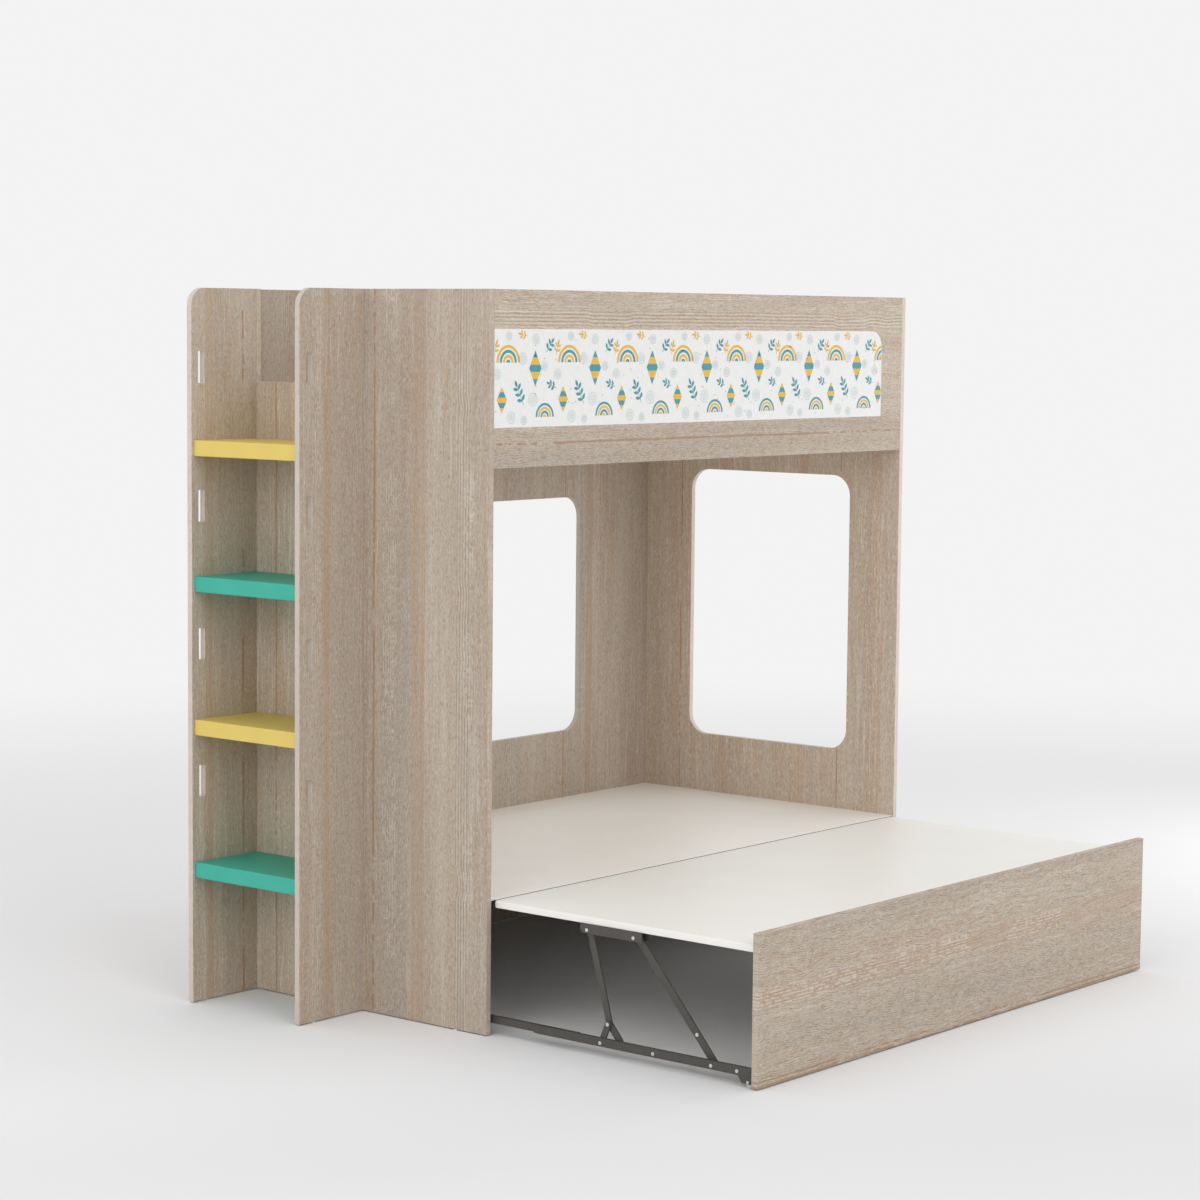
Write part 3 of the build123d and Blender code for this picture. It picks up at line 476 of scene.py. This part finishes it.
for name in nodes:
    if name in finishes:
        continue
    if name.endswith("cleat") or "beam" in name:
        finishes[name] = raw_along_y if "end_cleat" in name or "beam" in name else raw_along_x
    elif "rivets" in name or "screw" in name or "axles" in name:
        finishes[name] = bright_steel
    elif "_wheel_" in name and "fork" not in name:
        finishes[name] = grey_plastic
    else:
        finishes[name] = dark_steel
for name, material in finishes.items():
    data = nodes[name].data
    data.materials.clear()
    data.materials.append(material)


# Printed field of the guard rail: arches, diamonds, sprigs, rings and dots on white

print_proud = 0.0003
print_margin = 0.0015
print_pitch = 0.251
print_columns = range(-1, 9)
print_seed = 41
nearest_points = 1e-6
teal_ink, mustard_ink, pale_ink = 0, 1, 2

# Every spot starts with its place in a column: metres from the left side, and a share of the field's height.
# Then follow the size and inks of an arch, the width, height and inks of a diamond, the turn, pairs of
# leaves, size and ink of a sprig, and the radius of a ring. The rings of an arch are outer and inner radii.

arch_rings = ((0.047, 0.039), (0.034, 0.026), (0.021, 0.013), (0.008, 0.001))
arch_spots = ((0.055, 0.66, 1.0, (mustard_ink, teal_ink)), (0.205, 0.10, 0.8, (teal_ink, mustard_ink)))

diamond_bands = 5
diamond_spots = ((0.165, 0.60, 0.050, 0.096, (teal_ink, mustard_ink)),
                 (0.030, 0.28, 0.040, 0.070, (mustard_ink, teal_ink)))

stem_foot, stem_tip = 0.0008, 0.0005
stem_rest, first_pair = 0.6, 0.7
leaf_length, leaf_width, leaf_reach, leaf_angle = 1.25, 0.55, 0.62, 0.95
top_leaf_length, top_leaf_place = 1.3, 0.55
sprig_spots = ((0.103, 0.33, 0.5, 3, 0.017, teal_ink), (0.222, 0.82, -0.7, 2, 0.015, teal_ink),
               (0.004, 0.80, -0.3, 2, 0.013, mustard_ink), (0.236, 0.42, 1.2, 2, 0.013, teal_ink),
               (0.118, 0.94, 1.4, 2, 0.012, mustard_ink))

outer_weight, inner_weight, inner_circle = 0.0015, 0.0012, 0.6
ring_spokes, spoke_length, spoke_width, spoke_place = 6, 0.5, 0.0014, 0.3
ring_wander = 0.003
ring_spots = ((0.115, 0.70, 0.016), (0.155, 0.28, 0.018), (0.068, 0.10, 0.016), (0.205, 0.62, 0.013),
              (0.008, 0.54, 0.014), (0.165, 0.90, 0.014), (0.120, 0.07, 0.012), (0.060, 0.93, 0.012))

dots_per_column = 10
dot_radius = 0.0024
dot_shares = (0.04, 0.96)
dot_inks = (pale_ink, pale_ink, mustard_ink)


def clipped(points, low, high):
    """The outline cut back to the box from low to high, in the rail's plane."""
    for axis, limit, sign in ((0, low[0], 1), (0, high[0], -1), (1, low[1], 1), (1, high[1], -1)):
        kept = []
        for index, point in enumerate(points):
            before = points[index - 1]
            here_in = sign * (point[axis] - limit) >= 0
            if here_in != (sign * (before[axis] - limit) >= 0):
                share = (limit - before[axis]) / (point[axis] - before[axis])
                kept.append(tuple(b + share * (p - b) for b, p in zip(before, point)))
            if here_in:
                kept.append(point)
        points = kept
        if len(points) < 3:
            return []
    return points


def arch_outline(outer, inner, steps=20):
    """A half ring that stands on its two feet."""
    turns = [math.pi * i / steps for i in range(steps + 1)]
    return ([(outer * math.cos(t), outer * math.sin(t)) for t in turns]
            + [(inner * math.cos(t), inner * math.sin(t)) for t in reversed(turns)])


def diamond_outline(width, height, low, high):
    """The slice of an upright diamond between two shares of its half height."""
    levels = [low] + ([0.0] if low < 0.0 < high else []) + [high]
    side = [(width / 2 * (1.0 - abs(level)), level * height / 2) for level in levels]
    return side + [(-x, z) for x, z in reversed(side)]


def round_outline(radius, steps=28):
    turns = [math.tau * i / steps for i in range(steps)]
    return [(radius * math.cos(t), radius * math.sin(t)) for t in turns]


def leaf_outline(length, width, steps=12):
    """A pointed leaf about its middle."""
    side = [(width / 2 * math.sin(math.pi * i / steps), length * (i / steps - 0.5)) for i in range(steps + 1)]
    return side + [(-x, z) for x, z in side[-2:0:-1]]


def moved(place, turn, distance):
    """The place a distance away, in the direction that is turned from upright."""
    return (place[0] - distance * math.sin(turn), place[1] + distance * math.cos(turn))


class Print:
    """Flat printed shapes on the rail's field, in one plane and cut to its box."""

    def __init__(self, low, high, plane):
        self.mesh = bmesh.new()
        self.low, self.high, self.plane = low, high, plane

    def shape(self, outline, centre, colour, turn=0.0):
        cos, sin = math.cos(turn), math.sin(turn)
        points = [(centre[0] + x * cos - z * sin, centre[1] + x * sin + z * cos) for x, z in outline]
        points = clipped(points, self.low, self.high)
        pairs = zip(points, points[-1:] + points)
        points = [point for point, before in pairs if math.dist(point, before) > nearest_points]
        if len(points) < 3:
            return
        face = self.mesh.faces.new([self.mesh.verts.new((x, self.plane, z)) for x, z in points])
        face.material_index = colour

    def line(self, outline, centre, colour, weight, turn=0.0):
        """The outline drawn as a thin closed line."""
        count = len(outline)
        for index in range(count):
            a, b = outline[index], outline[(index + 1) % count]
            inner_a, inner_b = (tuple(v * (1.0 - weight / math.hypot(*end)) for v in end) for end in (a, b))
            self.shape([a, b, inner_b, inner_a], centre, colour, turn)

    def sprig(self, centre, turn, leaves, size, colour):
        """A stem with pairs of leaves and one at the tip. All but the stem's width goes with its size."""
        length = size * (leaves + stem_rest)
        low, high = -length / 2, length / 2
        stem = [(-stem_foot, low), (stem_foot, low), (stem_tip, high), (-stem_tip, high)]
        self.shape(stem, centre, colour, turn)
        for pair in range(leaves):
            foot = moved(centre, turn, low + size * (pair + first_pair))
            for way in (-1, 1):
                angle = turn + way * leaf_angle
                leaf = leaf_outline(size * leaf_length, size * leaf_width)
                self.shape(leaf, moved(foot, angle, size * leaf_reach), colour, angle)
        top_leaf = leaf_outline(size * top_leaf_length, size * leaf_width)
        self.shape(top_leaf, moved(centre, turn, length * top_leaf_place), colour, turn)

    def ring(self, centre, radius):
        """Two thin circles around a star of spokes."""
        self.line(round_outline(radius), centre, pale_ink, outer_weight)
        self.line(round_outline(radius * inner_circle), centre, pale_ink, inner_weight)
        for spoke in range(ring_spokes):
            angle = spoke * math.tau / ring_spokes
            self.shape(leaf_outline(radius * spoke_length, spoke_width, steps=4),
                       moved(centre, angle, radius * spoke_place), pale_ink, angle)

    def column(self, left, foot, height, dice):
        """One repeat of the pattern, with a little chance in its rings and dots."""
        def at(dx, share):
            return (left + dx, foot + share * height)

        for number, (outer, inner) in enumerate(arch_rings):
            for dx, share, size, inks in arch_spots:
                self.shape(arch_outline(outer * size, inner * size), at(dx, share), inks[number % 2])
        for number in range(diamond_bands):
            low, high = (2.0 / diamond_bands * edge - 1.0 for edge in (number, number + 1))
            for dx, share, wide, tall, inks in diamond_spots:
                self.shape(diamond_outline(wide, tall, low, high), at(dx, share), inks[number % 2])
        for dx, share, turn, leaves, size, ink in sprig_spots:
            self.sprig(at(dx, share), turn, leaves, size, ink)
        for dx, share, radius in ring_spots:
            self.ring(at(dx + dice.uniform(-ring_wander, ring_wander), share), radius)
        for _ in range(dots_per_column):
            centre = (left + dice.uniform(0.0, print_pitch), foot + dice.uniform(*dot_shares) * height)
            self.shape(round_outline(dot_radius, steps=12), centre, dice.choice(dot_inks))


def make_print():
    low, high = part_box("guard_print_panel")
    sheet = Print(low=(low.x + print_margin, low.z + print_margin),
                  high=(high.x - print_margin, high.z - print_margin), plane=low.y - print_proud)
    dice = random.Random(print_seed)
    for number in print_columns:
        sheet.column(low.x + number * print_pitch, low.z, high.z - low.z, dice)
    data = bpy.data.meshes.new("guard_print_motifs")
    bmesh.ops.triangulate(sheet.mesh, faces=sheet.mesh.faces[:])
    sheet.mesh.to_mesh(data)
    sheet.mesh.free()
    for material in (print_teal, print_mustard, print_pale):
        data.materials.append(material)
    piece = bpy.data.objects.new("guard_print_motifs", data)
    bpy.context.scene.collection.objects.link(piece)
    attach(piece, "bunk")


make_print()


# Floor, background and light

background = linear(243, 243, 243)
floor_radius = 60.0
glow_from, glow_to = 3.0, 8.0
shade_way = (-0.6, -0.8)
shade_from, shade_to, shade_depth = 0.85, 1.8, 0.075


def make_stage():
    """A pale floor, a little darker out to the front left, that turns into the background far out."""
    made = Shading("studio_floor")
    place = made.axes()
    squares = [made.maths("MULTIPLY", place[axis], place[axis]) for axis in (X, Y)]
    fade = made.step(made.maths("SQRT", made.maths("ADD", *squares)), glow_from, glow_to)
    mottle = made.noise(made.coordinates, scale=3.0)
    tone = made.mix(made.step(mottle, 0.3, 0.7, 0.0, 0.2), linear(235, 235, 236), linear(233, 233, 234))
    shares = [made.maths("MULTIPLY", place[axis], share) for axis, share in zip((X, Y), shade_way)]
    outward = made.maths("ADD", *shares)
    tone = made.mix(made.step(outward, shade_from, shade_to, 0.0, shade_depth), tone, black)
    surface = made.tree.nodes.new("ShaderNodeBsdfDiffuse")
    made.feed(surface.inputs["Color"], tone)
    glow = made.tree.nodes.new("ShaderNodeEmission")
    glow.inputs["Color"].default_value = background
    both = made.tree.nodes.new("ShaderNodeMixShader")
    made.feed(both.inputs[0], fade)
    made.feed(both.inputs[1], surface.outputs[0])
    made.feed(both.inputs[2], glow.outputs[0])
    made.feed(made.output.inputs["Surface"], both.outputs[0])
    mesh = bmesh.new()
    bmesh.ops.create_circle(mesh, cap_ends=True, segments=96, radius=floor_radius)
    data = bpy.data.meshes.new("studio_floor")
    mesh.to_mesh(data)
    mesh.free()
    data.materials.append(made.material)
    floor = bpy.data.objects.new("studio_floor", data)
    bpy.context.scene.collection.objects.link(floor)


def area_light(name, place, aim, size, energy):
    data = bpy.data.lights.new(name, "AREA")
    data.shape = "SQUARE"
    data.size = size
    data.energy = energy
    lamp = bpy.data.objects.new(name, data)
    lamp.location = place
    lamp.rotation_euler = (Vector(aim) - Vector(place)).to_track_quat("-Z", "Y").to_euler()
    bpy.context.scene.collection.objects.link(lamp)


def make_light():
    world = bpy.data.worlds.new("studio")
    world.use_nodes = True
    shade = world.node_tree.nodes["Background"]
    shade.inputs["Color"].default_value = background
    shade.inputs["Strength"].default_value = 1.0
    bpy.context.scene.world = world
    area_light("key_light", place=(-3.5, -7.0, 5.5), aim=(0.0, 0.0, 0.8), size=4.0, energy=100.0)
    area_light("side_light", place=(-7.0, -1.0, 4.0), aim=(0.0, 0.0, 0.9), size=4.0, energy=80.0)
    area_light("far_light", place=(4.2, -1.4, 1.2), aim=(0.4, -1.0, 0.0), size=1.6, energy=25.0)


make_stage()
make_light()
